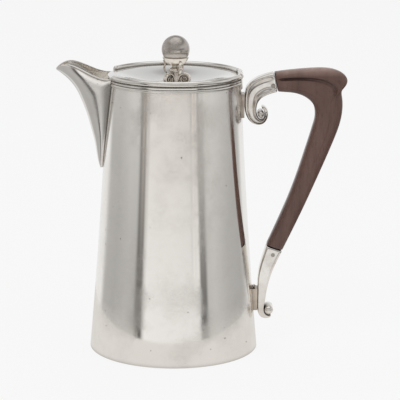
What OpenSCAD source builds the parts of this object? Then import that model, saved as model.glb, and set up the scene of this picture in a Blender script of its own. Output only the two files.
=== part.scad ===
// Silver coffee pot with a hinged flat lid, a beak spout and a carved wooden handle.
// Millimetres. The pot stands on z = 0 and its axis is Z. The spout points to -X, the handle to +X.

/* [Body] */
// Outer radius of the body at the edge it stands on
base_r = 50; // [40:1:62]
// Height of the body's rim above the surface it stands on
rim_z = 162.5; // [130:0.5:200]
// Outer radius of the body at its rim
neck_r = 39.1; // [36:0.1:45]
// How far the wall curves in from a straight cone, half way up
waist = 0.9; // [0:0.1:2]
// Thickness of the silver wall
wall = 1; // [0.7:0.05:1.4]
// Thickness of the bottom plate
base_t = 1.2; // [0.8:0.1:2]
// How far the bottom plate sits above the resting edge
base_recess = 2.6; // [1.5:0.1:5]
// Width of the wire ring that stiffens the resting edge
foot_w = 2; // [1:0.1:4]

/* [Rim mouldings] */
// Height of the flat band at the rim
band_h = 1.2; // [0.8:0.1:2]
// How far the flat band stands out from the neck
band_out = 0.9; // [0.5:0.1:1.5]
// Radius of the half-round wire under the band
wire_r = 0.95; // [0.6:0.05:1.4]

/* [Lid] */
// Radius of the thick wire round the lid
lid_wire_r = 1.6; // [1.2:0.1:2]
// How far the lid's wire overhangs the neck
lid_overhang = 1.7; // [1.2:0.1:3]
// Gap between the lid's wire and the rim
lid_gap = 0.3; // [0.2:0.05:0.6]
// Thickness of the lid plate
plate_t = 1; // [0.7:0.1:1.5]
// How far the lid plate lies below the top of its wire
plate_drop = 2.1; // [1.6:0.1:2.6]
// How far the lid plate dips towards its middle
dish = 4.5; // [3:0.25:5]
// Depth of the collar under the lid
bezel_h = 4; // [2:0.5:8]
// Thickness of the collar under the lid
bezel_t = 0.8; // [0.5:0.1:1.2]
// Gap between the collar and the inside of the neck
bezel_gap = 0.6; // [0.4:0.1:1]

/* [Hinge] */
// Length of the hinge barrel
hinge_len = 19; // [12:0.5:24]
// Radius of the hinge barrel
barrel_r = 1.6; // [1.3:0.1:1.9]
// Radius of the hinge pin
pin_r = 0.7; // [0.5:0.05:0.9]
// Radial running clearance of the hinge pin
pin_gap = 0.05; // [0.02:0.01:0.1]
// Gap between hinge knuckles, and round them
knuckle_gap = 0.3; // [0.2:0.05:0.5]
// How far the hinge's body leaf reaches down from the rim
leaf_drop = 6.5; // [4:0.5:10]
// Solder gap between the hinge leaf and the body wall
leaf_gap = 0.02; // [0.01:0.01:0.05]

/* [Finial] */
// Radius of the ball
ball_r = 8.25; // [6:0.25:10]
// Height of the ball's middle above the middle of the lid plate
ball_lift = 19.3; // [18:0.1:21]
// Radius of the stud that holds the finial
stud_r = 1.2; // [0.9:0.1:1.5]
// How far the finial stands from the body's axis, towards the handle
finial_x = 0.8; // [0:0.1:2]
// Width of one scroll foot
scroll_w = 2.6; // [2:0.1:3.5]
// Outer radius of one scroll foot
scroll_r = 4.3; // [3.5:0.1:4.5]

/* [Spout] */
// Height of the spout's lowest point
spout_z = 108; // [90:1:125]
// Half width of the spout where it meets the rim
spout_w = 15.8; // [12:0.1:17]
// How far the spout's tip reaches out from the neck
spout_reach = 30.2; // [24:0.1:36]
// Wall thickness of the spout
spout_t = 1.1; // [0.8:0.1:1.5]
// Radius of one strainer hole
strain_r = 1.5; // [1:0.1:1.9]

/* [Handle] */
// Width of the wooden grip
grip_w = 11; // [9:0.5:13]
// Width of the silver sockets
socket_w = 10; // [8:0.5:12]
// Height above the ground where the lower socket is fixed
lower_z = 27; // [20:1:40]
// Radius of the pins through the sockets
handle_pin_r = 1.1; // [0.8:0.1:1.4]
// Depth of the wooden tenons
tenon_l = 8; // [6:0.5:9]
// Gap round the tenons and pins
fit_gap = 0.05; // [0.03:0.01:0.1]

/* [Hidden] */

silver = [0.80, 0.79, 0.77];
dark_silver = [0.62, 0.60, 0.57];
rosewood = [0.33, 0.21, 0.17];

// --- shapes that several pieces share ---

// Body profile: a cone whose sides curve in a little. It is straight between these steps.
profile_steps = 20;
function curve_r(t) = base_r + (neck_r - base_r) * t - 4 * waist * t * (1 - t);
profile = [for (i = [0 : profile_steps]) [rim_z * i / profile_steps, curve_r(i / profile_steps)]];
function body_r(z) = lookup(z, profile);

// A cubic curve through p0 and p3, without its first point
curve_steps = 10;
function bezier(p0, p1, p2, p3, n = curve_steps) = [
    for (i = [1 : n]) let (t = i / n, s = 1 - t)
        s * s * s * p0 + 3 * s * s * t * p1 + 3 * s * t * t * p2 + t * t * t * p3
];
function at(anchor, points) = [for (p = points) anchor + p];

// A flat outline in the plane of the handle, given as [x, z], made w thick about y = 0
module upright(w) {
    rotate([90, 0, 0]) linear_extrude(w, center = true) children();
}
// The same in the radial plane at an angle round the finial
module across(r, w) {
    rotate([90, 0, 0]) cylinder(r = r, h = w, center = true, $fn = 48);
}
// The space inside the body's outer surface, up to a height
module body_solid(inset = 0, top = rim_z) {
    rotate_extrude($fn = 180)
        polygon(concat([[0, 0]], [for (p = profile) if (p[0] <= top) [p[1] - inset, p[0]]], [[0, top]]));
}

// Places that several pieces share
lid_axis_z = rim_z + lid_gap + lid_wire_r;
lid_wire_at = neck_r + lid_overhang - lid_wire_r;
plate_top = lid_axis_z + lid_wire_r - plate_drop;
plate_bottom = plate_top - plate_t;
plate_r = neck_r - knuckle_gap;
hinge_x = lid_wire_at - hinge_len * hinge_len / 8 / lid_wire_at + 0.6;
knuckles = 5;
knuckle_l = hinge_len / knuckles;
hinge_side = asin((hinge_len / 2 + 2 * knuckle_gap) / lid_wire_at);
leaf_side = asin(hinge_len / 2 / neck_r);
spout_side = asin(spout_w / neck_r);
wire_end = asin((spout_w + 2 * knuckle_gap + lid_wire_r) / lid_wire_at);
collar_r = neck_r - wall - bezel_gap;
// The plate is level as far out as the scroll feet reach
scroll_x = 2.6 + scroll_r - 1.2;
seat_r = scroll_x + scroll_r;
seat_z = plate_top - dish;
ball_z = seat_z + ball_lift;

// --- body ---

module body_shell() {
    inner = [for (i = [profile_steps : -1 : 0]) [profile[i][1] - wall, profile[i][0]]];
    outer = [for (p = profile) [p[1], p[0]]];
    color(silver) difference() {
        rotate_extrude($fn = 180) polygon(concat(outer, inner));
        strainer();
    }
}
// Strainer holes behind the spout: rows that widen towards the rim
strain_rows = 5;
strain_pitch = 4.4;
strain_top = 9;
module strainer() {
    for (row = [0 : strain_rows - 1], k = [0 : strain_rows - 1 - row])
        translate([-neck_r, (k - (strain_rows - 1 - row) / 2) * strain_pitch,
                   rim_z - strain_top - row * strain_pitch])
            rotate([0, 90, 0]) cylinder(r = strain_r, h = 20, center = true, $fn = 32);
}
module base_plate() {
    top = base_recess + base_t;
    color(silver) translate([0, 0, base_recess])
        cylinder(r1 = body_r(base_recess) - wall, r2 = body_r(top) - wall, h = base_t, $fn = 180);
}
module foot_ring() {
    inside = body_r(0) - wall;
    color(silver) rotate_extrude($fn = 180)
        polygon([[inside - foot_w, 0], [inside, 0], [body_r(base_recess) - wall, base_recess],
                 [inside - foot_w, base_recess]]);
}
// A moulding round the rim, on both sides, between the hinge and the spout
module both_sides(from, to) {
    for (side = [0, 1]) mirror([0, side, 0])
        rotate([0, 0, from]) rotate_extrude(angle = to - from, $fn = 180) children();
}
band_top = rim_z - 0.2;
band_low = band_top - band_h;
wire_z = band_low - wire_r;
moulding_end = 180 - spout_side - 1.2;
module rim_band() {
    color(silver) both_sides(leaf_side + 0.3, moulding_end)
        polygon([[body_r(band_low), band_low], [neck_r + band_out, band_low],
                 [neck_r + band_out, band_top], [body_r(band_top), band_top]]);
}
module rim_wire() {
    below = wire_z - wire_r;
    color(silver) both_sides(leaf_side + 0.3, moulding_end) difference() {
        translate([neck_r + 0.2, wire_z]) circle(r = wire_r, $fn = 32);
        polygon([[0, below - 1], [body_r(below - 1), below - 1], [body_r(band_low), band_low],
                 [0, band_low]]);
    }
}

// --- spout ---

// The spout is one skin. Each row runs from the keel, round one side, to the edge.
spout_rows = 26;
spout_cols = 9;
seat_gap = 0.06;
keel_low = [-(body_r(spout_z) + spout_t + 0.3), spout_z + 0.4];
keel_bend = [-(body_r(spout_z) + 4.5), spout_z + 14];
tip = [-(neck_r + spout_reach), rim_z + 4];
keel = concat([keel_low],
    bezier(keel_low, keel_low + [-2, 3], keel_bend + [0.6, -6], keel_bend, 6),
    bezier(keel_bend, keel_bend + [-2.2, 17], tip + [11.9, -8.8], tip, spout_rows - 6));

// Edge: up the seam on the body, then along the lip to the tip, as [x, half width, z]
seam_rows = 15;
corner_z = rim_z + 0.9;
seam_low_w = 1.9;
function on_body(w, z) = [-sqrt(pow(body_r(z) + seat_gap, 2) - w * w), w, z];
function seam_w(t) = seam_low_w + (spout_w - seam_low_w) * pow(t, 0.78);
seam = [for (i = [0 : seam_rows]) let (t = i / seam_rows)
    on_body(seam_w(t), spout_z + 0.8 + (corner_z - spout_z - 0.8) * t)];
corner = seam[seam_rows];
crest = [tip[0] + 7.9, 10.5, tip[1] + 4.3];
tip_edge = [tip[0] + 0.4, 1.4, tip[1] + 0.7];
lip = concat(
    bezier(corner, corner + [-9.1, 0, -0.2], crest + [7.5, 3.3, -0.5], crest, 7),
    bezier(crest, crest + [-3.5, -2.3, 0.2], tip_edge + [0.6, 2.4, 1.9], tip_edge,
           spout_rows - seam_rows - 7));
edge = concat(seam, lip);

function spout_point(k, e, a) = [
    k[0] + (e[0] - k[0]) * (1 - cos(a)), e[1] * sin(a), k[1] + (e[2] - k[1]) * (1 - cos(a))];
function spout_row(k, e) = [for (j = [-spout_cols : spout_cols])
    let (p = spout_point(k, e, abs(j) * 90 / spout_cols)) [p[0], sign(j) * p[1], p[2]]];
// The inner side: the keel moves in along its normal and the edge moves in along Y
function keel_in(i) = let (a = keel[max(i - 1, 0)], b = keel[min(i + 1, spout_rows)], d = (b - a) / norm(b - a))
    keel[i] + spout_t * [d[1], -d[0]];
function edge_in(i) = let (e = edge[i], w = e[1] - spout_t)
    i <= seam_rows ? on_body(w, e[2]) : [e[0], w, e[2]];

module spout() {
    n = spout_rows;
    m = 2 * spout_cols + 1;
    outer = [for (i = [0 : n]) each spout_row(keel[i], edge[i])];
    inner = [for (i = [0 : n]) each spout_row(keel_in(i), edge_in(i))];
    base = (n + 1) * m;
    skin = [for (i = [0 : n - 1], j = [0 : m - 2]) let (a = i * m + j, b = a + 1, c = a + m, d = c + 1)
        each [[a, b, d], [a, d, c], [base + a, base + d, base + b], [base + a, base + c, base + d]]];
    ends = [for (j = [0 : m - 2], i = [0, n]) let (a = i * m + j, b = a + 1)
        each i == 0 ? [[a, base + b, b], [a, base + a, base + b]]
                    : [[a, b, base + b], [a, base + b, base + a]]];
    sides = [for (i = [0 : n - 1], j = [0, m - 1]) let (a = i * m + j, c = a + m)
        each j == 0 ? [[a, c, base + c], [a, base + c, base + a]]
                    : [[a, base + c, c], [a, base + a, base + c]]];
    color(silver) polyhedron(concat(outer, inner), concat(skin, ends, sides));
}

// --- hinge ---

// A length of the barrel: knuckle number k, r round, grown by g at each end
module knuckle(k, r, g) {
    translate([hinge_x, (k - (knuckles - 1) / 2) * knuckle_l, lid_axis_z])
        across(r, knuckle_l + 2 * g);
}
module hinge_bore() {
    translate([hinge_x, 0, lid_axis_z]) across(pin_r + pin_gap, hinge_len + 2);
}
module hinge_body_leaf() {
    low = rim_z - leaf_drop;
    on_wall = [for (i = [profile_steps : -1 : 0]) let (p = profile[i])
        if (p[0] > low && p[0] < rim_z) [p[1] + leaf_gap, p[0]]];
    color(silver) difference() {
        union() {
            rotate([0, 0, -leaf_side]) rotate_extrude(angle = 2 * leaf_side, $fn = 180)
                polygon(concat([[body_r(low) + leaf_gap, low], [neck_r + 1.1, low + 0.6],
                                [neck_r + 1.1, lid_axis_z - 0.4], [neck_r + leaf_gap, lid_axis_z - 0.4],
                                [neck_r + leaf_gap, rim_z]], on_wall));
            for (k = [0 : 2 : knuckles - 1]) knuckle(k, barrel_r, -knuckle_gap / 2);
        }
        for (k = [1 : 2 : knuckles - 1]) knuckle(k, barrel_r + knuckle_gap, knuckle_gap / 2);
        hinge_bore();
    }
}
notch_x = neck_r - 5.6;
module hinge_lid_leaf() {
    w = hinge_len - 2 * knuckle_gap;
    color(silver) difference() {
        union() {
            translate([notch_x, -w / 2, plate_bottom]) cube([hinge_x - notch_x, w, plate_t]);
            for (k = [1 : 2 : knuckles - 1]) knuckle(k, barrel_r, -knuckle_gap / 2);
        }
        for (k = [0 : 2 : knuckles - 1]) knuckle(k, barrel_r + knuckle_gap, knuckle_gap / 2);
        hinge_bore();
    }
}
module hinge_pin() {
    color(dark_silver) translate([hinge_x, 0, lid_axis_z]) across(pin_r, hinge_len + 0.3);
}

// --- lid ---

// The plate's upper side: level in the middle and under the collar, and a smooth rise between
dish_line = concat([[0, 0], [seat_r, 0]],
    bezier([seat_r, 0], [seat_r + 8, 0], [collar_r - bezel_t - 8.5, dish], [collar_r - bezel_t - 0.5, dish]));
dish_under = [for (i = [len(dish_line) - 1 : -1 : 0]) dish_line[i] - [0, plate_t]];
module lid_plate() {
    w = hinge_len + 2 * knuckle_gap;
    color(silver) difference() {
        translate([0, 0, seat_z]) rotate_extrude($fn = 180)
            polygon(concat(dish_line, [[plate_r, dish]], [[plate_r, dish - plate_t]], dish_under));
        translate([notch_x, -w / 2, plate_bottom - 1]) cube([20, w, plate_t + 2]);
        translate([finial_x, 0, seat_z - plate_t - 1])
            cylinder(r = stud_r + fit_gap, h = plate_t + 2, $fn = 32);
    }
}
module lid_wire() {
    color(silver) {
        both_sides(hinge_side, 180 - wire_end) difference() {
            translate([lid_wire_at, lid_axis_z]) circle(r = lid_wire_r, $fn = 48);
            translate([0, plate_bottom]) square([plate_r, plate_t]);
            translate([0, plate_bottom - bezel_h]) square([collar_r + fit_gap, bezel_h]);
        }
    }
}
module lid_collar() {
    color(silver) translate([0, 0, plate_bottom - bezel_h]) difference() {
        cylinder(r = collar_r, h = bezel_h, $fn = 180);
        translate([0, 0, -1]) cylinder(r = collar_r - bezel_t, h = bezel_h + 2, $fn = 180);
    }
}

// --- finial ---

module on_lid() {
    translate([finial_x, 0, seat_z]) children();
}
foot_h = ball_lift - ball_r - 0.6;
waist_z = 7.2;
cup_h = 4.4;
module finial_foot() {
    bore = stud_r + fit_gap;
    color(silver) on_lid() rotate_extrude($fn = 64)
        polygon(concat([[bore, 0], [2.4, 0], [2.4, waist_z - 1]],
            bezier([2.4, waist_z - 1], [3.6, waist_z - 0.9], [4.2, waist_z - 0.2], [4.2, waist_z + 0.3], 5),
            bezier([4.2, waist_z + 0.3], [3.8, waist_z + 1.2], [3, waist_z + 1.6], [2.1, waist_z + 1.8], 6),
            [[2.1, foot_h - 0.6], [2.8, foot_h], [bore, foot_h]]));
}
module cup_shape() {
    translate([0, 0, foot_h]) rotate_extrude($fn = 64)
        polygon(concat([[0, 0], [4.6, 0]],
            bezier([4.6, 0], [6.2, 0.8], [7.2, 2.4], [ball_r - 0.6, cup_h], 8), [[0, cup_h]]));
}
module finial_cup() {
    color(dark_silver) on_lid() difference() {
        cup_shape();
        translate([0, 0, ball_lift]) sphere(r = ball_r + fit_gap, $fn = 96);
        translate([0, 0, foot_h - 1]) cylinder(r = stud_r + fit_gap, h = 8, $fn = 32);
    }
}
stud_up = 5;
module finial_ball() {
    color(dark_silver) on_lid() difference() {
        translate([0, 0, ball_lift]) sphere(r = ball_r, $fn = 96);
        translate([0, 0, ball_lift - ball_r - 1]) cylinder(r = stud_r + fit_gap, h = stud_up + 1.3, $fn = 32);
    }
}
// Three scroll feet: a curled strap round an eye, joined by a thin web, standing on the plate
foot_side = -15;
eye_r = 1.45;
strap_t = 1.1;
module scroll_foot() {
    z = scroll_r * 0.5;
    difference() {
        translate([scroll_x, 0, z]) {
            difference() {
                across(scroll_r, scroll_w);
                for (s = [-1, 1]) translate([0, s * scroll_w / 2, 0]) across(scroll_r - strap_t, scroll_w * 0.6);
            }
            translate([0.2, 0, 0]) across(eye_r, scroll_w);
        }
        translate([0, -scroll_w, -scroll_r]) cube([2 * scroll_x, 2 * scroll_w, scroll_r]);
        cylinder(r = 2.5, h = 2 * scroll_r, $fn = 64);
        translate([0, 0, waist_z - 1.1]) cylinder(r = 4.4, h = scroll_r, $fn = 64);
    }
}
module finial_scrolls() {
    color(silver) on_lid() for (a = [0, 120, 240]) rotate([0, 0, foot_side + a]) scroll_foot();
}
// Three curled tendrils between the feet and the cup
tendril_w = 1.8;
module finial_tendrils() {
    low = [5.4, waist_z - 2.2];
    knee = [6.3, waist_z + 3.1];
    end = [6.6, foot_h + 2.6];
    outline = concat([low],
        bezier(low, low + [2.7, 1.4], knee + [1.5, -1.6], knee, 7),
        bezier(knee, knee + [1.6, 1], end + [1.3, -0.6], end, 7),
        bezier(end - [0.2, 0.9], end + [0, -1.6], knee + [-0.4, 1.4], knee - [1.2, 0], 7),
        bezier(knee - [1.2, 0], knee + [0.4, -1.6], low + [1, 2.2], low + [-0.6, 0.6], 7));
    color(dark_silver) on_lid() for (a = [70, 190, 310])
        rotate([0, 0, foot_side + a]) difference() {
            upright(tendril_w) polygon(outline);
            cup_shape();
            translate([0, 0, ball_lift]) sphere(r = ball_r + fit_gap, $fn = 96);
        }
}
washer_t = 0.8;
nut_t = 2;
module finial_stud() {
    low = -plate_t - washer_t - nut_t - 0.4;
    color(dark_silver) on_lid() translate([0, 0, low])
        cylinder(r = stud_r, h = ball_lift - ball_r + stud_up - low, $fn = 32);
}
module finial_washer() {
    color(dark_silver) on_lid() translate([0, 0, -plate_t - washer_t]) difference() {
        cylinder(r = stud_r + 2.6, h = washer_t, $fn = 48);
        translate([0, 0, -1]) cylinder(r = stud_r + fit_gap, h = washer_t + 2, $fn = 32);
    }
}
module finial_nut() {
    color(dark_silver) on_lid() translate([0, 0, -plate_t - washer_t - nut_t]) difference() {
        cylinder(r = stud_r + 1.7, h = nut_t, $fn = 6);
        translate([0, 0, -1]) cylinder(r = stud_r + fit_gap, h = nut_t + 2, $fn = 32);
    }
}

// --- handle ---

// The handle's upper end is drawn from the rim, its lower end from the body at lower_z
up = [neck_r, rim_z];
low = [body_r(lower_z), lower_z];
up_top = up + [19.2, 3.2];
up_under = up + [21.5, -8.2];
low_in = low + [7.5, 34.7];
low_out = low + [17, 31.5];
up_pellet = up + [11.7, -21.2];
pellet_r = 1.9;
low_ball = low + [9.3, -4.8];
low_ball_r = 2.66;
up_flat = up[0] + 2.1;
low_flat = low[0] + 2.5;

// A joint line runs from a to b with its socket on the left. A point is s into it and t along it.
function in_socket(a, b, s, t) = let (d = (b - a) / norm(b - a)) (a + b) / 2 + s * [-d[1], d[0]] + t * d;
// A tenon's outline: a box that starts at a joint line and runs into the socket
module tenon(a, b, h, l) {
    polygon([in_socket(a, b, -1, -h / 2), in_socket(a, b, -1, h / 2), in_socket(a, b, l, h / 2),
             in_socket(a, b, l, -h / 2)]);
}
up_tenon_h = 8;
low_tenon_h = 6.6;
tenon_w = socket_w - 3;
up_pin_at = in_socket(up_under, up_top, 2.1, -1.5);
low_pin_at = in_socket(low_out, low_in, 4, -0.4);

module upper_socket() {
    outline = concat([up_top],
        bezier(up_top, up + [12, 2.6], up + [4.2, -0.6], [up_flat, up[1] - 9]),
        [[up_flat, up[1] - 21]],
        bezier([up_flat, up[1] - 21], up + [2.1, -25.5], up + [6.2, -28.1], up + [10.6, -28.1]),
        bezier(up + [10.6, -28.1], up + [14.2, -28.1], up + [16.1, -25], up + [16.1, -21.2]),
        bezier(up + [16.1, -21.2], up + [16.1, -18.6], up + [14.4, -16.7], up + [12.2, -16.7], 6),
        bezier(up + [12.2, -16.7], up + [10.6, -16.7], up + [9.8, -18.2], up + [11, -19.4], 5),
        bezier(up + [12.2, -19.2], up + [13.4, -19.4], up + [14.2, -20.2], up + [14.2, -21.4], 5),
        bezier(up + [14.2, -21.4], up + [14.2, -23.6], up + [12.9, -24.7], up + [11.2, -24.7], 6),
        bezier(up + [11.2, -24.7], up + [8.6, -24.7], up + [8, -21], up + [8.1, -18.4], 6),
        bezier(up + [8.1, -18.4], up + [8.3, -14.2], up + [13.5, -8.6], up_under));
    color(silver) difference() {
        upright(socket_w) polygon(outline);
        upright(tenon_w + 2 * fit_gap)
            tenon(up_under, up_top, up_tenon_h + 2 * fit_gap, tenon_l + 2 * fit_gap);
        pin_hole(up_pin_at);
        translate([up_pellet[0], 0, up_pellet[1]]) across(pellet_r + 0.02, socket_w + 2);
    }
}
module pin_hole(p) {
    translate([p[0], 0, p[1]]) across(handle_pin_r + fit_gap, grip_w + 10);
}
// A round bar across the handle with domed ends
module domed_bar(p, r) {
    reach = socket_w / 2 - r * 0.4;
    color(silver) translate([p[0], 0, p[1]]) {
        across(r, 2 * reach);
        for (s = [-1, 1]) translate([0, s * reach, 0]) sphere(r = r, $fn = 48);
    }
}
module upper_pellet() {
    domed_bar(up_pellet, pellet_r);
}
module lower_ball() {
    domed_bar(low_ball, low_ball_r);
}
module handle_pin(p) {
    color(dark_silver) translate([p[0], 0, p[1]]) across(handle_pin_r, socket_w + 0.3);
}
module upper_pin() {
    handle_pin(up_pin_at);
}
module lower_pin() {
    handle_pin(low_pin_at);
}

module wood_grip() {
    knob = up + [62.7, -1.5];
    nick = up + [58.1, -7.2];
    elbow = up + [59.8, -19.5];
    bend = up + [43.7, -22.5];
    outline = concat([up_top],
        bezier(up_top, up + [28.9, 5.1], up + [39.9, 5.9], up + [48.9, 5.9]),
        bezier(up + [48.9, 5.9], up + [56.4, 5.9], knob + [0, 4.5], knob),
        bezier(knob, knob + [0, -3.4], nick + [2.6, -0.1], nick, 6),
        bezier(nick, nick + [1.4, -2.8], elbow + [0.4, 4.5], elbow, 6),
        bezier(elbow, elbow + [-0.9, -12], low + [36.3, 74], low_out, 14),
        bezier(low_in, low + [19.3, 62], bend + [-2, -19], bend, 14),
        bezier(bend, bend + [0.8, 6], up + [41.7, -12.2], up + [35.9, -10.3]),
        bezier(up + [35.9, -10.3], up + [31.9, -8.8], up + [26.9, -8.4], up_under));
    color(rosewood) difference() {
        union() {
            upright(grip_w) polygon(concat(outline, [up_top]));
            upright(tenon_w) {
                tenon(up_under, up_top, up_tenon_h, tenon_l);
                tenon(low_out, low_in, low_tenon_h, tenon_l);
            }
        }
        pin_hole(up_pin_at);
        pin_hole(low_pin_at);
    }
}

module lower_socket() {
    outline = concat([low_in],
        bezier(low_in, low + [4.6, 26], low + [2.8, 17], [low_flat, low[1] + 8]),
        [[low_flat, low[1] - 4]],
        bezier([low_flat, low[1] - 4], low + [2.6, -7], low + [4.8, -9.8], low + [8, -9.8]),
        bezier(low + [8, -9.8], low + [10, -9.8], low + [11.6, -9.2], low + [12.6, -7.9], 5),
        [low + [11, -4.8], low + [9.3, -2.5]],
        bezier(low + [7.2, -1.6], low + [7.4, 10], low + [14.6, 26], low_out));
    color(silver) difference() {
        upright(socket_w) polygon(concat(outline, [low_in]));
        upright(tenon_w + 2 * fit_gap)
            tenon(low_out, low_in, low_tenon_h + 2 * fit_gap, tenon_l + 2 * fit_gap);
        pin_hole(low_pin_at);
        translate([low_ball[0], 0, low_ball[1]]) across(low_ball_r + 0.02, socket_w + 2);
    }
}
pad_w = 9;
up_pad_low = rim_z - 23.5;
up_pad_h = 14;
low_pad_low = lower_z - 5;
low_pad_h = 13;
// A pad that fills the gap between the body and a socket's flat side
module pad(x, z, h) {
    color(silver) difference() {
        translate([x - 8, -pad_w / 2, z]) cube([8, pad_w, h]);
        body_solid(-0.01);
    }
}
module upper_pad() {
    pad(up_flat, up_pad_low, up_pad_h);
}
module lower_pad() {
    pad(low_flat, low_pad_low, low_pad_h);
}
bead_r = 1;
module lower_bead() {
    z = low_pad_low + low_pad_h + bead_r;
    color(silver) translate([body_r(z) + bead_r + 0.1, 0, z]) sphere(r = bead_r, $fn = 48);
}

body_shell();
base_plate();
foot_ring();
rim_band();
rim_wire();
spout();
hinge_body_leaf();
hinge_lid_leaf();
hinge_pin();
lid_plate();
lid_wire();
lid_collar();
finial_foot();
finial_cup();
finial_ball();
finial_scrolls();
finial_tendrils();
finial_stud();
finial_washer();
finial_nut();
upper_pad();
upper_socket();
upper_pellet();
upper_pin();
wood_grip();
lower_socket();
lower_ball();
lower_pin();
lower_pad();
lower_bead();
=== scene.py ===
# %% [markdown]
# # A silver coffee pot
#
# The pot is a plain tapering cone of sheet silver with a beak spout, a flat hinged lid with a
# ball finial, and a carved wooden handle held in two scrolled silver sockets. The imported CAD
# model gives every size. This lesson gives each piece a smooth skin and a real finish.

# %% Load the frame
import bpy
import bmesh
from math import atan2, cos, degrees, hypot, pi, radians, sin, sqrt
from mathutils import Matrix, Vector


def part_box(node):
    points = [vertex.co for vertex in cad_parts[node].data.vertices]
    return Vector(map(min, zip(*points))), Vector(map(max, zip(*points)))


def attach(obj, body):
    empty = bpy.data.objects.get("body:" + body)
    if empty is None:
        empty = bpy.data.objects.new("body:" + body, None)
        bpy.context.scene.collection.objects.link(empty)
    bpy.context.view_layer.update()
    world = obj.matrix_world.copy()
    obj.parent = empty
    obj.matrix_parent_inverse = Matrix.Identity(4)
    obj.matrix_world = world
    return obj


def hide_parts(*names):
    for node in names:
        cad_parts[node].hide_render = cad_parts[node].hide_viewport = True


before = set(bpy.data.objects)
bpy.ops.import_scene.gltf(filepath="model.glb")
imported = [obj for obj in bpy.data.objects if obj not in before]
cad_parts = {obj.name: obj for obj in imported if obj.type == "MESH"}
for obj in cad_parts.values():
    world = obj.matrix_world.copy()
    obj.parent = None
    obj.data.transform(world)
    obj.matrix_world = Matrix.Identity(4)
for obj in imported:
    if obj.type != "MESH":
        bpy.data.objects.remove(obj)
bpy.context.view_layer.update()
MM = 0.001

# %% [markdown]
# ## The camera
#
# The pot is seen from its side, a little above the rim, through a long lens, so that the base
# shows as a flat oval and the rim as a flatter one. A short lens would widen the near parts. The
# camera turns and rolls by less than a degree, so that the pot stands very slightly askew.

# %% Set up the camera
LENS_LENGTH = 171.1
DOWN, TURN, ROLL = 12.93, 0.808, 0.35

lens = bpy.data.cameras.new("long_lens")
lens.sensor_width = 36
lens.lens = LENS_LENGTH
camera = bpy.data.objects.new("camera", lens)
bpy.context.scene.collection.objects.link(camera)
camera.rotation_mode = "XYZ"
camera.location = (0, -1.1001, 0.3412)
camera.rotation_euler = (radians(90 - DOWN), 0, radians(-TURN))
camera.rotation_euler.rotate_axis("Z", radians(ROLL))
bpy.context.scene.camera = camera
bpy.context.scene.view_settings.view_transform = "Standard"
print("camera at", tuple(camera.location))

# %% [markdown]
# ## The studio
#
# Polished silver has almost no colour of its own: what it shows is the room. A pale panel in
# front, a darker pair at the sides and narrow dark gaps between them give a silver cone its
# upright bands. A real set would have cards and curtains standing round the pot. Painting them
# on the world, by direction, is simpler and never casts a shadow. The first cell makes small
# helpers for wiring nodes together.

# %% Helpers for shader nodes
def node(tree, kind, **values):
    made = tree.nodes.new(kind)
    for key, value in values.items():
        if hasattr(made, key) and key not in made.inputs:
            setattr(made, key, value)
        else:
            made.inputs[key].default_value = value
    return made


def join(tree, source, target):
    tree.links.new(source, target)


def math(tree, operation, first, second=None, third=None, clamp=False):
    made = tree.nodes.new("ShaderNodeMath")
    made.operation = operation
    made.use_clamp = clamp
    for socket, value in zip(made.inputs, (first, second, third)):
        if value is None:
            continue
        if isinstance(value, (int, float)):
            socket.default_value = value
        else:
            tree.links.new(value, socket)
    return made.outputs[0]


def rise_from(tree, value, start, width):
    """0 up to start, then climbing to 1 over the width."""
    return math(tree, "DIVIDE", math(tree, "SUBTRACT", value, start), width, clamp=True)


def fall_to(tree, value, end, width):
    """1 at first, then sinking over the width to 0 at end."""
    return math(tree, "DIVIDE", math(tree, "SUBTRACT", end, value), width, clamp=True)


def ramp(tree, value, stops):
    made = tree.nodes.new("ShaderNodeValToRGB")
    points = made.color_ramp.elements
    while len(points) < len(stops):
        points.new(0.5)
    for point, (place, colour) in zip(points, stops):
        point.position = place
        point.color = (*colour, 1)
    tree.links.new(value, made.inputs[0])
    return made.outputs[0]


def grey(level, warm):
    return (level * (1 + warm), level, level * (1 - warm))


def blend(tree, factor, first, second, kind="MIX"):
    """Mixes two colours. A tuple is a plain colour, and anything else is a node's output."""
    made = node(tree, "ShaderNodeMix", data_type="RGBA", blend_type=kind)
    for socket, value in ((0, factor), (6, first), (7, second)):
        if isinstance(value, tuple):
            made.inputs[socket].default_value = (*value, 1)
        elif isinstance(value, float):
            made.inputs[socket].default_value = value
        else:
            tree.links.new(value, made.inputs[socket])
    return made.outputs[2]


print("helpers ready")

# %% [markdown]
# ## The panels round the pot
#
# The cone shows the panels' bearings as upright bands, and its lean decides how high in the room
# each part of it looks. So the room has two rings of panels, a low and a high one, each painted
# by bearing. A ceiling, a dark far wall and an open space below the panels are painted by height.

# %% Find each direction's bearing
BACKDROP = (0.93, 0.93, 0.93)
world = bpy.data.worlds.new("studio")
bpy.context.scene.world = world
world.use_nodes = True
room = world.node_tree
room.nodes.clear()
direction = room.nodes.new("ShaderNodeTexCoord").outputs["Generated"]
split = node(room, "ShaderNodeSeparateXYZ")
join(room, direction, split.inputs[0])
x, y, z = split.outputs
turn = math(room, "DIVIDE", math(room, "ARCTAN2", x, math(room, "MULTIPLY", y, -1)), 2 * pi)
turn = math(room, "ADD", turn, 0.5)


def bearing(angle):
    return 0.5 + angle / 360


def by_bearing(*stops):
    return ramp(room, turn, [(bearing(angle), grey(level, warm)) for angle, level, warm in stops])


print("directions found with", len(room.nodes), "nodes")

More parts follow.
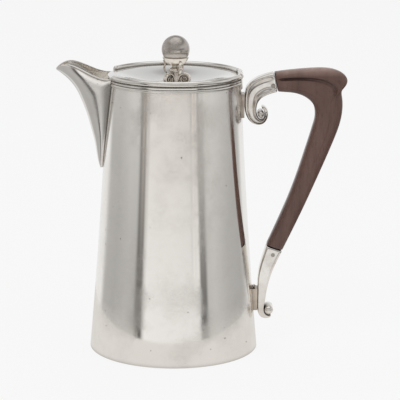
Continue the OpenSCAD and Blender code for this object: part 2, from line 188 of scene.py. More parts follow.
# %% Paint the two rings of panels
# Each stop is (bearing in degrees, level, warmth)
# Low down the dark gaps between the panels are wide and plain
low_room = by_bearing(
    (-180, 0.86, 0), (-134, 0.84, 0), (-122, 0.46, 0.01), (-98, 0.42, 0.01), (-74, 0.46, 0.01),
    (-60, 0.42, 0.01), (-55, 0.13, 0.03), (-48, 0.11, 0.03), (-44, 0.66, 0.01), (-41, 0.86, 0),
    (0, 0.86, 0), (38, 0.84, 0), (41, 0.10, 0.03), (48, 0.12, 0.03), (52, 0.50, 0.01),
    (62, 0.54, 0.01), (90, 0.44, 0.01), (118, 0.41, 0.01), (129, 0.50, 0.01), (140, 0.82, 0),
    (180, 0.86, 0))
# Higher up the gaps show warm curtains with fine folds, and the front panel is in half shade
high_room = by_bearing(
    (-180, 0.84, 0), (-136, 0.82, 0), (-124, 0.64, 0.01), (-98, 0.62, 0.01), (-70, 0.70, 0.01),
    (-58, 0.68, 0.01), (-55, 0.32, 0.03), (-53, 0.44, 0.05), (-50, 0.62, 0.07), (-47, 0.34, 0.05),
    (-45, 0.60, 0.07), (-42, 0.44, 0.05), (-39, 0.66, 0.04), (0, 0.66, 0.04), (25, 0.58, 0.04),
    (28, 0.36, 0.05), (31, 0.66, 0.08), (33, 0.42, 0.05), (36, 0.62, 0.08), (39, 0.34, 0.04),
    (42, 0.70, 0.02), (70, 0.66, 0.01), (100, 0.60, 0.01), (122, 0.56, 0.01), (133, 0.62, 0.01),
    (142, 0.84, 0), (180, 0.86, 0))


def by_height(*stops):
    """Each stop is (the direction's z, level, warmth)."""
    height = math(room, "ADD", math(room, "MULTIPLY", z, 0.5), 0.5)
    return ramp(room, height, [(0.5 + up / 2, grey(level, warm)) for up, level, warm in stops])


# %% Join the two rings, then darken the far wall and the space below
rise = rise_from(room, z, -0.14, 0.07)
walls = blend(room, rise, low_room, high_room)
# On the side that faces the viewer, a dark far wall stands above the panels
horizon = by_height(
    (-1, 1, 0), (-0.075, 1, 0), (-0.045, 0.70, 0.02), (0.0, 0.42, 0.04), (0.14, 0.26, 0.04),
    (0.24, 0.80, 0), (1, 1, 0))
facing = math(room, "MULTIPLY", math(room, "MULTIPLY", y, -1), 2.2, clamp=True)
walls = blend(room, facing, walls, blend(room, 1.0, walls, horizon, "MULTIPLY"))
# Below the panels the tent is open to a dark studio, which gives the curled straps their dark lines
below = by_height(
    (-1, 0.9, 0), (-0.74, 0.8, 0), (-0.60, 0.25, 0.04), (-0.42, 0.20, 0.04), (-0.33, 0.60, 0.02),
    (-0.285, 1, 0), (1, 1, 0))
open_side = math(room, "MULTIPLY_ADD", x, 1.3, 1.0, clamp=True)
walls = blend(room, open_side, walls, blend(room, 1.0, walls, below, "MULTIPLY"))
above = by_height((-1, 0, 0), (0.12, 0, 0), (0.26, 1, 0), (1, 1, 0))
ceiling = by_height(
    (-1, 0.68, 0), (0.20, 0.68, 0), (0.34, 0.66, 0), (0.52, 0.58, 0), (0.62, 0.34, 0.03),
    (0.74, 0.28, 0.03), (0.84, 0.80, 0), (1, 0.95, 0))
painted = blend(room, above, walls, ceiling)

# %% Hang the room, with a plain backdrop for the camera
panels = node(room, "ShaderNodeBackground")
join(room, painted, panels.inputs["Color"])
plain = node(room, "ShaderNodeBackground", Color=(*BACKDROP, 1))
choice = node(room, "ShaderNodeMixShader")
join(room, room.nodes.new("ShaderNodeLightPath").outputs["Is Camera Ray"], choice.inputs[0])
join(room, panels.outputs[0], choice.inputs[1])
join(room, plain.outputs[0], choice.inputs[2])
join(room, choice.outputs[0], node(room, "ShaderNodeOutputWorld").inputs[0])
print("room painted with", len(room.nodes), "nodes")

# %% [markdown]
# ## The floor
#
# The pot stands on a pale table without an edge. Silver near a real table mirrors it a little
# darker than it looks, because the pot and the panels shade it. So the table glows evenly, and
# its reflection is darker and ends a short way off, where the silver mirrors the room instead.

# %% Lay the floor
TABLE_R = 0.155
bpy.ops.mesh.primitive_circle_add(vertices=96, radius=9, fill_type="NGON", location=(0, 0, -0.0002))
floor = bpy.context.object
floor.name = "floor"
pale = bpy.data.materials.new("pale_table")
pale.use_nodes = True
tree = pale.node_tree
tree.nodes.clear()
place = tree.nodes.new("ShaderNodeTexCoord").outputs["Object"]
flat = node(tree, "ShaderNodeSeparateXYZ")
join(tree, place, flat.inputs[0])
far = math(tree, "SQRT", math(tree, "ADD", math(tree, "MULTIPLY", flat.outputs[0], flat.outputs[0]),
                              math(tree, "MULTIPLY", flat.outputs[1], flat.outputs[1])))
edge_fade = rise_from(tree, far, TABLE_R, 0.008)
rays = tree.nodes.new("ShaderNodeLightPath")
gone = math(tree, "MULTIPLY", edge_fade, rays.outputs["Is Glossy Ray"])
mirrored = blend(tree, rays.outputs["Is Glossy Ray"], BACKDROP, (0.72, 0.705, 0.685))
glow = node(tree, "ShaderNodeEmission", Strength=1.0)
join(tree, mirrored, glow.inputs["Color"])
matt = node(tree, "ShaderNodeBsdfDiffuse", Color=(0.9, 0.9, 0.9, 1))
surface = node(tree, "ShaderNodeMixShader", Fac=0.04)
join(tree, glow.outputs[0], surface.inputs[1])
join(tree, matt.outputs[0], surface.inputs[2])
clear = node(tree, "ShaderNodeBsdfTransparent")
whole = node(tree, "ShaderNodeMixShader")
join(tree, gone, whole.inputs[0])
join(tree, surface.outputs[0], whole.inputs[1])
join(tree, clear.outputs[0], whole.inputs[2])
join(tree, whole.outputs[0], node(tree, "ShaderNodeOutputMaterial").inputs[0])
floor.data.materials.append(pale)
print("table mirrored out to", TABLE_R, "m")

# %% [markdown]
# ## The lights
#
# The painted room lights the silver. The wood is not a mirror, so three soft round lights shape
# it: a strong one from the spout's side, a weaker one from the handle's side and one above. They
# don't show in the silver, where they would leave round spots.


# %% Hang the soft lights
def soft_light(name, place, size, watts):
    lamp = bpy.data.lights.new(name, "AREA")
    lamp.shape = "DISK"
    lamp.size = size
    lamp.energy = watts
    held = bpy.data.objects.new(name, lamp)
    bpy.context.scene.collection.objects.link(held)
    held.location = place
    held.rotation_euler = (held.location * -1).to_track_quat("-Z", "Y").to_euler()
    held.visible_glossy = False


soft_light("key_light", (-0.9, -1.1, 1.3), 0.9, 14)
soft_light("fill_light", (1.2, -0.9, 0.9), 0.9, 8)
soft_light("top_light", (0.1, 0.5, 1.5), 1.0, 7)
print("three lights hung")

# %% [markdown]
# ## Tools for making pieces
#
# Each piece starts as a primitive at the origin and is worked in edit mode. A strap, a wire or
# a handle is grown: a ring is extruded stop by stop, and at each stop it is turned, resized
# and moved. That is how a smith draws a tapering strap and then curls it.

# %% Helpers for modelling
def alone(piece):
    bpy.ops.object.select_all(action="DESELECT")
    piece.select_set(True)
    bpy.context.view_layer.objects.active = piece


def edit(piece):
    alone(piece)
    bpy.ops.object.mode_set(mode="EDIT")
    bpy.ops.mesh.select_mode(type="VERT")


def edit_all(piece):
    edit(piece)
    bpy.ops.mesh.select_all(action="SELECT")


def leave():
    bpy.ops.object.mode_set(mode="OBJECT")


def pick(piece, kind, test):
    bpy.ops.mesh.select_all(action="DESELECT")
    mesh = bmesh.from_edit_mesh(piece.data)
    for item in getattr(mesh, kind):
        item.select_set(bool(test(item)))
    bmesh.update_edit_mesh(piece.data)


def add_modifier(piece, kind, **values):
    alone(piece)
    made = piece.modifiers.new(kind.lower(), kind)
    for key, value in values.items():
        setattr(made, key, value)
    bpy.ops.object.modifier_apply(modifier=made.name)


def smooth(piece, levels=2):
    add_modifier(piece, "SUBSURF", levels=levels, render_levels=levels)


def outward(piece):
    edit_all(piece)
    bpy.ops.mesh.remove_doubles(threshold=0.00001)
    bpy.ops.mesh.normals_make_consistent(inside=False)
    leave()


def finish(piece, name, body, *nodes, angle):
    alone(piece)
    bpy.ops.object.transform_apply(location=True, rotation=True, scale=True)
    bpy.ops.object.shade_smooth_by_angle(angle=radians(angle))
    piece.name = name
    piece.data.name = name
    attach(piece, body)
    if nodes:
        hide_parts(*nodes)
    print(name, len(piece.data.polygons), "faces")


# %% Rings, and growing along stops
def soft_square(corner, cuts):
    bpy.ops.mesh.primitive_plane_add(size=2)
    piece = bpy.context.object
    edit(piece)
    bpy.ops.mesh.bevel(offset=corner, segments=4, affect="VERTICES")
    bpy.ops.mesh.delete(type="ONLY_FACE")
    if cuts:
        pick(piece, "edges", lambda e: e.calc_length() > 0.45)
        bpy.ops.mesh.subdivide(number_cuts=cuts)
    bpy.ops.mesh.select_all(action="SELECT")
    return piece


def round_ring(vertices):
    bpy.ops.mesh.primitive_circle_add(vertices=vertices, radius=1)
    piece = bpy.context.object
    edit_all(piece)
    return piece


def turn_about_y(angle, centre):
    bpy.ops.transform.rotate(value=angle, orient_axis="Y", center_override=centre)


def grow_levels(levels, closed):
    """Extrudes the selected ring through levels of (place, thickness, half width, slant)."""
    last = None
    for number, (place, thick, wide, slant) in enumerate(levels):
        if last is None:
            bpy.ops.transform.resize(value=(thick, wide, 1), center_override=(0, 0, 0))
            turn_about_y(slant, (0, 0, 0))
            bpy.ops.transform.translate(value=place)
        else:
            was, thin, narrow, slant_was = last
            if closed and number == 1:
                bpy.ops.mesh.edge_face_add()
            move = tuple(b - a for a, b in zip(was, place))
            bpy.ops.mesh.extrude_region_move(TRANSFORM_OT_translate={"value": move})
            turn_about_y(-slant_was, place)
            bpy.ops.transform.resize(value=(thick / thin, wide / narrow, 1), center_override=place)
            turn_about_y(slant, place)
        last = (place, thick, wide, slant)


def grow(stops):
    """Each stop is (outer x, outer z, inner x, inner z, half width), in millimetres."""
    levels = []
    for ox, oz, ix, iz, wide in stops:
        place = ((ox + ix) / 2 * MM, 0, (oz + iz) / 2 * MM)
        levels.append((place, hypot(ox - ix, oz - iz) / 2 * MM, wide * MM, atan2(oz - iz, ox - ix)))
    grow_levels(levels, closed=True)
    bpy.ops.mesh.edge_face_add()
    leave()


def mirror_copy(piece):
    alone(piece)
    bpy.ops.object.duplicate()
    twin = bpy.context.object
    edit_all(twin)
    bpy.ops.transform.resize(value=(1, -1, 1), center_override=(0, 0, 0))
    leave()
    alone(piece)
    twin.select_set(True)
    bpy.ops.object.join()
    outward(piece)


print("modelling tools ready")

# %% [markdown]
# ## The body wall
#
# The real wall is one sheet raised or seamed into a cone whose sides curve in slightly, about
# a millimetre thick. A spun profile would do, but would leave a seam to close. So a circle is
# extruded upwards and narrowed in steps, which follows the curve level by level, and Solidify
# gives it its thickness. Its two edges are then levelled.

# %% Raise the body wall
base_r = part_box("body_shell")[1].x / MM
rim_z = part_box("body_shell")[1].z / MM
NECK_R = 39.1
WAIST = 0.9
WALL = 1.0
EDGE_REACH = 0.00016  # Every point this near to an edge's level belongs to the edge


def body_r(z):
    t = z / rim_z
    return base_r + (NECK_R - base_r) * t - 4 * WAIST * t * (1 - t)


bpy.ops.mesh.primitive_circle_add(vertices=180, radius=body_r(0) * MM)
wall = bpy.context.object
edit_all(wall)
WALL_STEPS = 40
levels = [0.25, 0.6, 1.2] + [2.5 + i * (rim_z - 5) / WALL_STEPS for i in range(WALL_STEPS + 1)]
levels += [rim_z - 1, rim_z - 0.35, rim_z]
was = 0
for level in levels:
    bpy.ops.mesh.extrude_region_move(TRANSFORM_OT_translate={"value": (0, 0, (level - was) * MM)})
    shrink = body_r(level) / body_r(was)
    bpy.ops.transform.resize(value=(shrink, shrink, 1), center_override=(0, 0, level * MM))
    was = level
leave()
outward(wall)
add_modifier(wall, "SOLIDIFY", thickness=WALL * MM, offset=-1, use_even_offset=True)
edit(wall)
for level in (0, rim_z):
    pick(wall, "verts", lambda v: abs(v.co.z - level * MM) < EDGE_REACH)
    bpy.ops.transform.resize(value=(1, 1, 0), center_override=(0, 0, level * MM))
leave()
print("wall raised through", len(levels), "levels")

# %% [markdown]
# ### The strainer
#
# The wall runs on behind the spout and is drilled there, so that the grounds stay in the pot.
# The real holes are drilled from outside before the spout is soldered on. Here a triangle of
# small cylinders is joined into one cutter, so that a single Boolean makes all the holes.

# %% Drill the strainer behind the spout
HOLE_ROWS, HOLE_PITCH, HOLE_R = 5, 4.4, 1.5
OFF_LINE = 0.02  # A hair to the side, so that no cut runs exactly along a line of the wall
cutters = []
for row in range(HOLE_ROWS):
    for k in range(HOLE_ROWS - row):
        side = (k - (HOLE_ROWS - 1 - row) / 2) * HOLE_PITCH
        hole = (-NECK_R * MM, (side + OFF_LINE) * MM, (rim_z - 9 - row * HOLE_PITCH) * MM)
        bpy.ops.mesh.primitive_cylinder_add(vertices=24, radius=HOLE_R * MM, depth=16 * MM,
                                            location=hole, rotation=(0, radians(90), 0))
        cutters.append(bpy.context.object)
bpy.ops.object.select_all(action="DESELECT")
for cutter in cutters:
    cutter.select_set(True)
bpy.context.view_layer.objects.active = cutters[0]
bpy.ops.object.join()
drill = bpy.context.object
add_modifier(wall, "BOOLEAN", operation="DIFFERENCE", object=drill, solver="EXACT")
bpy.data.objects.remove(drill)
finish(wall, "body_wall", "pot", "body_shell", angle=35)

# %% [markdown]
# ## The mouldings and the lid's wire
#
# The rim carries a flat band and a half-round wire, and the lid a thick round wire. All three
# stop at the spout and at the hinge. A smith draws the wire, bends it round the rim and solders
# it on. Each is spun here as a small ring round the pot's axis, which keeps its section true all
# the way, then rounded off at its ends and mirrored to the other side.

# %% Spin the lid's wire
SPOUT_W = 15.8
SPOUT_END = degrees(atan2(SPOUT_W, sqrt(NECK_R ** 2 - SPOUT_W ** 2)))
HINGE_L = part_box("hinge_pin")[1].y * 2 / MM - 0.3
# Each is (step, scale): the step is a share of the wire's half height
ROUND_END = ((0.35, 0.93), (0.35, 0.8), (0.2, 0.5))
RING_STEPS = 84


def spin_ring(piece, radius, z, tall, wide, start, stop):
    """Spins the selected unit ring about Z, from one bearing to another, in degrees from +X."""
    bpy.ops.transform.resize(value=(wide * MM, tall * MM, 1), center_override=(0, 0, 0))
    bpy.ops.transform.rotate(value=radians(90), orient_axis="X", center_override=(0, 0, 0))
    bpy.ops.transform.translate(value=(radius * MM, 0, z * MM))
    bpy.ops.transform.rotate(value=-radians(start), orient_axis="Z", center_override=(0, 0, 0))
    bpy.ops.mesh.spin(steps=RING_STEPS, angle=-radians(stop - start), center=(0, 0, 0),
                      axis=(0, 0, 1))
    for at, way in ((start, -1), (stop, 1)):
        pick(piece, "verts", lambda v: abs(degrees(atan2(v.co.y, v.co.x)) - at) < 0.02)
        bpy.ops.mesh.edge_face_add()
        centre = (radius * cos(radians(at)) * MM, radius * sin(radians(at)) * MM, z * MM)
        for share, scale in ROUND_END:
            step = share * tall * MM * way
            move = (-sin(radians(at)) * step, cos(radians(at)) * step, 0)
            centre = tuple(a + b for a, b in zip(centre, move))
            bpy.ops.mesh.extrude_region_move(TRANSFORM_OT_translate={"value": move})
            bpy.ops.transform.resize(value=(scale, scale, scale), center_override=centre)
    leave()


def half_height(box):
    return (box[1].z - box[0].z) / 2 / MM


def mid_height(box):
    return (box[1].z + box[0].z) / 2 / MM


lid_wire_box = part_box("lid_wire")
LID_WIRE_R = half_height(lid_wire_box)
lid_wire_z = mid_height(lid_wire_box)
lid_wire_at = lid_wire_box[1].y / MM - LID_WIRE_R
hinge_end = degrees(atan2(HINGE_L / 2 + 1.5, lid_wire_at))
clear_of_spout = SPOUT_W + 2.4
wire_end = 180 - degrees(atan2(clear_of_spout, sqrt(lid_wire_at ** 2 - clear_of_spout ** 2)))
lid_wire = round_ring(32)
spin_ring(lid_wire, lid_wire_at, lid_wire_z, LID_WIRE_R, LID_WIRE_R, hinge_end, wire_end)
mirror_copy(lid_wire)
finish(lid_wire, "lid_round_wire", "lid", "lid_wire", angle=50)

# %% Spin the rim's wire and its band
RIM_WIRE_R = 0.95
BAND_THICK = 0.52
band_end = 180 - SPOUT_END - 1.6
leaf_end = degrees(atan2(HINGE_L / 2, NECK_R)) + 0.8
wire_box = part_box("rim_wire")
rim_wire = round_ring(20)
spin_ring(rim_wire, NECK_R + 0.2, mid_height(wire_box), RIM_WIRE_R, RIM_WIRE_R, leaf_end, band_end)
mirror_copy(rim_wire)
finish(rim_wire, "rim_round_wire", "pot", "rim_wire", angle=50)

band_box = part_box("rim_band")
rim_band = soft_square(corner=0.5, cuts=0)
spin_ring(rim_band, NECK_R + 0.35, mid_height(band_box), half_height(band_box), BAND_THICK,
          leaf_end, band_end)
mirror_copy(rim_band)
finish(rim_band, "rim_flat_band", "pot", "rim_band", angle=50)

# %% [markdown]
# ## The lid plate
#
# The plate is a disc that dips a little towards its middle, where the finial is bolted. A smith
# would sink it over a hollow with a mallet. A circle is extruded inwards and lowered ring by
# ring, which gives the dip an exact profile, then closed in the middle, thickened, and notched
# for the hinge.

# %% Sink the lid plate
plate_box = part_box("lid_plate")
plate_r = plate_box[1].y / MM
plate_top = plate_box[1].z / MM
PLATE_THICK = 1.0
DISH_STEPS = 16
seat_z = plate_box[0].z / MM + PLATE_THICK
dish = plate_top - seat_z
bpy.ops.mesh.primitive_circle_add(vertices=180, radius=plate_r * MM, location=(0, 0, 0))
plate = bpy.context.object
edit_all(plate)
bpy.ops.transform.translate(value=(0, 0, plate_top * MM))
flat_r, seat_r = 36.2, 10.0
dish_rings = [flat_r + (seat_r - flat_r) * i / DISH_STEPS for i in range(DISH_STEPS + 1)]
rings = [plate_r] + dish_rings + [5, 2]
drop_was = 0
for before, now in zip(rings, rings[1:]):
    t = min(max((flat_r - now) / (flat_r - seat_r), 0), 1)
    drop = dish * t * t * (3 - 2 * t)
    step = (0, 0, (drop_was - drop) * MM)
    bpy.ops.mesh.extrude_region_move(TRANSFORM_OT_translate={"value": step})
    bpy.ops.transform.resize(value=(now / before, now / before, 1), center_override=(0, 0, 0))
    drop_was = drop
bpy.ops.mesh.edge_face_add()
leave()
outward(plate)
edit_all(plate)
mesh = bmesh.from_edit_mesh(plate.data)
if sum(f.normal.z for f in mesh.faces) < 0:
    bpy.ops.mesh.flip_normals()
leave()
add_modifier(plate, "SOLIDIFY", thickness=PLATE_THICK * MM, offset=-1)

# %% Notch the plate for the hinge
NOTCH_DEEP, NOTCH_LONG, NOTCH_TALL = 5.6, 20, 6
notch = HINGE_L / 2 + 0.3
bpy.ops.mesh.primitive_cube_add(
    size=1, location=((NECK_R - NOTCH_DEEP + NOTCH_LONG / 2) * MM, 0, plate_top * MM),
    scale=(NOTCH_LONG * MM, 2 * notch * MM, NOTCH_TALL * MM))
cutter = bpy.context.object
add_modifier(plate, "BOOLEAN", operation="DIFFERENCE", object=cutter, solver="EXACT")
bpy.data.objects.remove(cutter)
finish(plate, "lid_dished_plate", "lid", "lid_plate", angle=35)

# %% [markdown]
# ## The spout
#
# The spout is one sheet folded like a beak. Each level of it is half an oval, which leaves the
# wall, runs round the keel and comes back. It could be carved out of a block, but a real beak
# is a folded sheet, so half a circle is stretched to the first level and grown upwards between
# two drawn lines, the keel and the lip, and then given the sheet's thickness.

# %% Levels of the spout
def curve(points, t):
    """A smooth line through points that are evenly spaced in t, from 0 to 1."""
    spans = len(points) - 1
    i = min(int(t * spans), spans - 1)
    u = t * spans - i
    grab = lambda k: points[min(max(k, 0), spans)]
    a, b, c, d = grab(i - 1), grab(i), grab(i + 1), grab(i + 2)
    return tuple(0.5 * (2 * q + (r - p) * u + (2 * p - 5 * q + 4 * r - s) * u * u
                        + (3 * q - p - 3 * r + s) * u ** 3)
                 for p, q, r, s in zip(a, b, c, d))


SHEET = 1.1
SPOUT_Z = 108
corner_z = rim_z + 0.9


def seam_width(t):
    return 1.9 + (SPOUT_W - 1.9) * t ** 0.78


spout_levels = []
keel_line = [
    (-43.6, 108.4), (-44.9, 113), (-45.9, 118.5), (-46.8, 124), (-48.1, 129.5), (-49.6, 135),
    (-51.2, 140.5), (-53.0, 145.5), (-55.0, 150.3), (-57.0, 154.6), (-59.3, 158.2), (-61.9, 161.2),
    (-64.6, 163.6), (-67.0, 165.4), (-68.9, 166.7)]
seam_levels = 18
lip_line = [
    (-35.76, SPOUT_W, corner_z), (-40.5, 15.2, 163.5), (-46, 14.3, 165.1), (-51.5, 13.0, 167.6),
    (-57, 11.3, 169.9), (-61.3, 9.2, 170.9), (-65, 6.1, 170.2), (-67.8, 3.0, 168.6),
    (-68.9, 1.3, 167.4)]
LEVELS = 34
for i in range(LEVELS + 1):
    kx, kz = curve(keel_line, i / LEVELS)
    if i <= seam_levels:
        t = i / seam_levels
        ez = SPOUT_Z + 0.8 + (corner_z - SPOUT_Z - 0.8) * t
        wide = seam_width(t)
        ex = -sqrt((body_r(min(ez, rim_z)) + 0.1) ** 2 - wide ** 2)
    else:
        ex, wide, ez = curve(lip_line, (i - seam_levels) / (LEVELS - seam_levels))
    spread = hypot(kx - ex, kz - ez) * MM
    spout_levels.append(((ex * MM, 0, ez * MM), spread, wide * MM, atan2(kz - ez, kx - ex)))
print("keel ends at", keel_line[-1], "after", len(spout_levels), "levels")

# %% Grow the spout
bpy.ops.mesh.primitive_circle_add(vertices=64, radius=1)
spout = bpy.context.object
edit(spout)
pick(spout, "verts", lambda v: v.co.x < -0.001)
bpy.ops.mesh.delete(type="VERT")
bpy.ops.mesh.select_all(action="SELECT")
grow_levels(spout_levels, closed=False)
bpy.ops.mesh.select_all(action="SELECT")
bpy.ops.mesh.normals_make_consistent(inside=False)
mesh = bmesh.from_edit_mesh(spout.data)
keel_face = min(mesh.faces, key=lambda f: f.calc_center_median().x)
if keel_face.normal.x > 0:
    bpy.ops.mesh.flip_normals()
leave()
add_modifier(spout, "SOLIDIFY", thickness=SHEET * MM, offset=-1, use_even_offset=True)
add_modifier(spout, "BEVEL", width=0.3 * MM, segments=2, limit_method="ANGLE",
             angle_limit=radians(50))
finish(spout, "beak_spout", "pot", "spout", angle=35)

# %% [markdown]
# ## The handle's silver sockets
#
# Each socket is a tapering strap. The upper one starts as a box round the wooden tenon,
# narrows, runs down the wall and curls round a pellet, and its sides are sunk to leave raised
# edges. It could be bent out of a straight strap, but growing it stop by stop lets the width and
# the curl change together, as in the casting.

# %% Grow the upper socket
def side_rings(piece, columns):
    """The numbers of the ring's points that lie on its two flat sides, away from the corners."""
    mesh = bmesh.from_edit_mesh(piece.data)
    return {v.index for v in mesh.verts if abs(abs(v.co.y) - 1) < 0.001 and abs(v.co.x) < columns}


def sink_sides(piece, ring, chosen, first, last, share):
    """Brings the chosen points of some rings in to a share of their width."""
    edit(piece)
    pick(piece, "verts", lambda v: v.index % ring in chosen and first <= v.index // ring <= last)
    bpy.ops.transform.resize(value=(1, share, 1), center_override=(0, 0, 0))
    leave()


CHANNEL_DEPTH = 0.7
HALF = 5.0
upper_stops = [
    (58.3, 165.7, 60.6, 154.3, HALF), (57.9, 165.6, 60.0, 154.2, HALF),
    (53.6, 164.6, 57.4, 153.5, HALF), (49.2, 163.0, 54.8, 152.6, HALF),
    (45.6, 161.0, 52.5, 151.5, HALF), (42.9, 158.4, 50.6, 150.2, HALF),
    (41.5, 155.2, 49.3, 148.5, HALF), (41.2, 150.8, 48.5, 146.4, HALF),
    (41.2, 146.4, 48.1, 144.0, HALF), (41.5, 142.2, 48.3, 141.8, HALF),
    (42.9, 138.6, 48.9, 139.9, HALF), (45.3, 135.9, 49.8, 138.6, 4.9),
    (48.6, 134.5, 50.8, 137.9, 4.8), (51.6, 134.8, 51.9, 138.1, 4.7),
    (53.9, 136.7, 52.6, 139.1, 4.5), (55.1, 139.3, 52.9, 140.4, 4.4),
    (55.2, 142.2, 53.0, 141.9, 4.3), (54.4, 144.5, 52.7, 143.3, 4.2),
    (52.7, 145.8, 52.0, 144.3, 4.1), (51.0, 145.6, 51.3, 144.4, 4.0)]
upper = soft_square(corner=0.34, cuts=4)
channel = side_rings(upper, 0.45)
ring_size = len(bmesh.from_edit_mesh(upper.data).verts)
grow(upper_stops)
print("upper ring", ring_size, "channel", sorted(channel))
sink_sides(upper, ring_size, channel, 2, 15, CHANNEL_DEPTH)
outward(upper)
smooth(upper)
finish(upper, "upper_scroll", "pot", "upper_socket", angle=60)

# %% [markdown]
# ### The lower socket
#
# The lower strap rises from its own small curl and opens into a plain box for the wood. Its
# sides are flat, so the same growing gives the whole piece.

# %% Grow the lower socket
lower_stops = [
    (64.7, 58.5, 55.2, 61.7, 4.9), (64.4, 57.9, 55.0, 61.1, 4.9), (62.0, 53.0, 53.2, 55.6, 4.9),
    (59.8, 48.2, 51.6, 50.0, 4.85), (57.9, 43.0, 50.4, 44.4, 4.8), (56.3, 37.0, 50.2, 38.0, 4.8),
    (55.3, 31.5, 50.2, 32.0, 4.75), (54.8, 27.0, 50.2, 27.0, 4.7), (54.4, 23.6, 50.2, 22.2, 4.7),
    (54.5, 21.0, 50.9, 19.2, 4.65), (55.3, 19.6, 52.4, 17.4, 4.6), (56.4, 18.8, 54.6, 16.7, 4.55),
    (57.6, 18.5, 56.8, 16.9, 4.5), (58.6, 18.7, 58.6, 17.8, 4.4)]
lower = soft_square(corner=0.34, cuts=4)
grow(lower_stops)
outward(lower)
smooth(lower)
finish(lower, "lower_scroll", "pot", "lower_socket", angle=60)


# %% [markdown]
# ### The pellets
#
# A small silver ball sits in each curl, wide enough to show on both sides. It is a real ball
# soldered into the curl. Here it is a sphere whose two halves are moved apart along the pin's
# direction, so that its round faces stay round.


# %% Pellets held in the curls
def pellet(name, replaced):
    low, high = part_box(replaced)
    radius = (high.z - low.z) / 2
    bpy.ops.mesh.primitive_uv_sphere_add(segments=32, ring_count=20, radius=radius)
    piece = bpy.context.object
    edit_all(piece)
    bpy.ops.transform.rotate(value=radians(90), orient_axis="X", center_override=(0, 0, 0))
    for way in (-1, 1):
        pick(piece, "verts", lambda v: v.co.y * way > 0.0001)
        bpy.ops.transform.translate(value=(0, way * (high.y - radius), 0))
    bpy.ops.mesh.select_all(action="SELECT")
    bpy.ops.transform.translate(value=((low.x + high.x) / 2, 0, (low.z + high.z) / 2))
    leave()
    finish(piece, name, "pot", replaced, angle=60)


pellet("upper_curl_pellet", "upper_pellet")
pellet("lower_curl_pellet", "lower_ball")

# %% [markdown]
# ## The wooden grip
#
# The grip is carved from one piece of dark reddish wood. Its top is a thumb rest: a roll that
# ends in a knob over a small notch. Sculpting would give it too many faces, so it is grown from
# a soft-cornered square. Its sides are then sunk a little, in a wide hollow and in a narrow
# crease under the roll.

# %% Grow the grip
WIDE = 5.5
grip_stops = [
    (58.35, 165.7, 60.65, 154.3, 5.0), (59.0, 165.8, 61.3, 154.25, 5.2),
    (62.5, 166.3, 64.0, 154.1, WIDE), (67.0, 166.9, 67.4, 153.9, WIDE),
    (72.0, 167.4, 70.8, 153.5, WIDE), (77.5, 167.9, 74.0, 152.6, WIDE),
    (83.0, 168.25, 77.0, 151.2, WIDE), (88.5, 168.3, 79.3, 149.5, WIDE),
    (93.5, 167.6, 80.9, 147.9, WIDE), (97.6, 165.9, 81.8, 146.4, WIDE),
    (100.6, 163.6, 82.3, 145.0, WIDE), (101.7, 160.9, 82.6, 143.6, WIDE),
    (100.9, 158.2, 82.75, 142.2, WIDE), (98.5, 156.0, 82.8, 140.9, WIDE),
    (97.9, 153.6, 82.75, 139.6, WIDE), (98.6, 150.6, 82.6, 138.2, WIDE),
    (98.95, 146.6, 82.2, 136.4, WIDE), (98.7, 141.4, 81.5, 134.0, WIDE),
    (97.6, 135.8, 80.6, 130.8, WIDE), (95.6, 129.6, 79.3, 126.4, WIDE),
    (92.6, 122.0, 77.3, 120.0, WIDE), (88.9, 112.8, 74.6, 111.0, WIDE),
    (84.1, 101.6, 71.2, 100.5, WIDE), (79.4, 90.5, 67.4, 90.2, WIDE),
    (74.65, 79.8, 63.2, 80.2, 5.4), (70.2, 70.2, 59.4, 71.4, 5.3), (66.9, 63.2, 56.7, 65.3, 5.15),
    (65.0, 59.15, 55.4, 62.35, 5.0), (64.7, 58.5, 55.2, 61.7, 4.95)]
grip = soft_square(corner=0.62, cuts=5)
mesh = bmesh.from_edit_mesh(grip.data)
grip_ring = len(mesh.verts)
side_points = [v for v in mesh.verts if abs(abs(v.co.y) - 1) < 0.001]
columns = sorted({round(v.co.x, 3) for v in side_points})
crease = {v.index for v in side_points if round(v.co.x, 3) == columns[-2]}
hollow = {v.index for v in side_points if v.co.x < columns[-3] + 0.001}
grow(grip_stops)
print("grip ring", grip_ring, "crease", sorted(crease), "hollow", sorted(hollow))

# %% Carve the hollow and the crease under the roll
HOLLOW_DEPTH, CREASE_DEPTH = 0.9, 0.55
sink_sides(grip, grip_ring, hollow, 3, 20, HOLLOW_DEPTH)
sink_sides(grip, grip_ring, crease, 2, 11, CREASE_DEPTH)
outward(grip)
smooth(grip)
finish(grip, "carved_grip", "pot", "wood_grip", angle=60)

# %% [markdown]
# ## The finial
#
# The ball sits in a little cup on a stem with a domed collar. These three are turned pieces, so
# a circle is extruded up their outlines and narrowed or widened as it goes. Spinning a profile
# would do as well, but would leave a seam to close.

# %% Find the finial
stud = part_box("finial_stud")
fin_x = (stud[0].x + stud[1].x) / 2 / MM
ball_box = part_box("finial_ball")
ball_z = mid_height(ball_box)
ball_r = half_height(ball_box)
print("finial at x", round(fin_x, 2), "ball at", round(ball_z, 2), "radius", round(ball_r, 2))


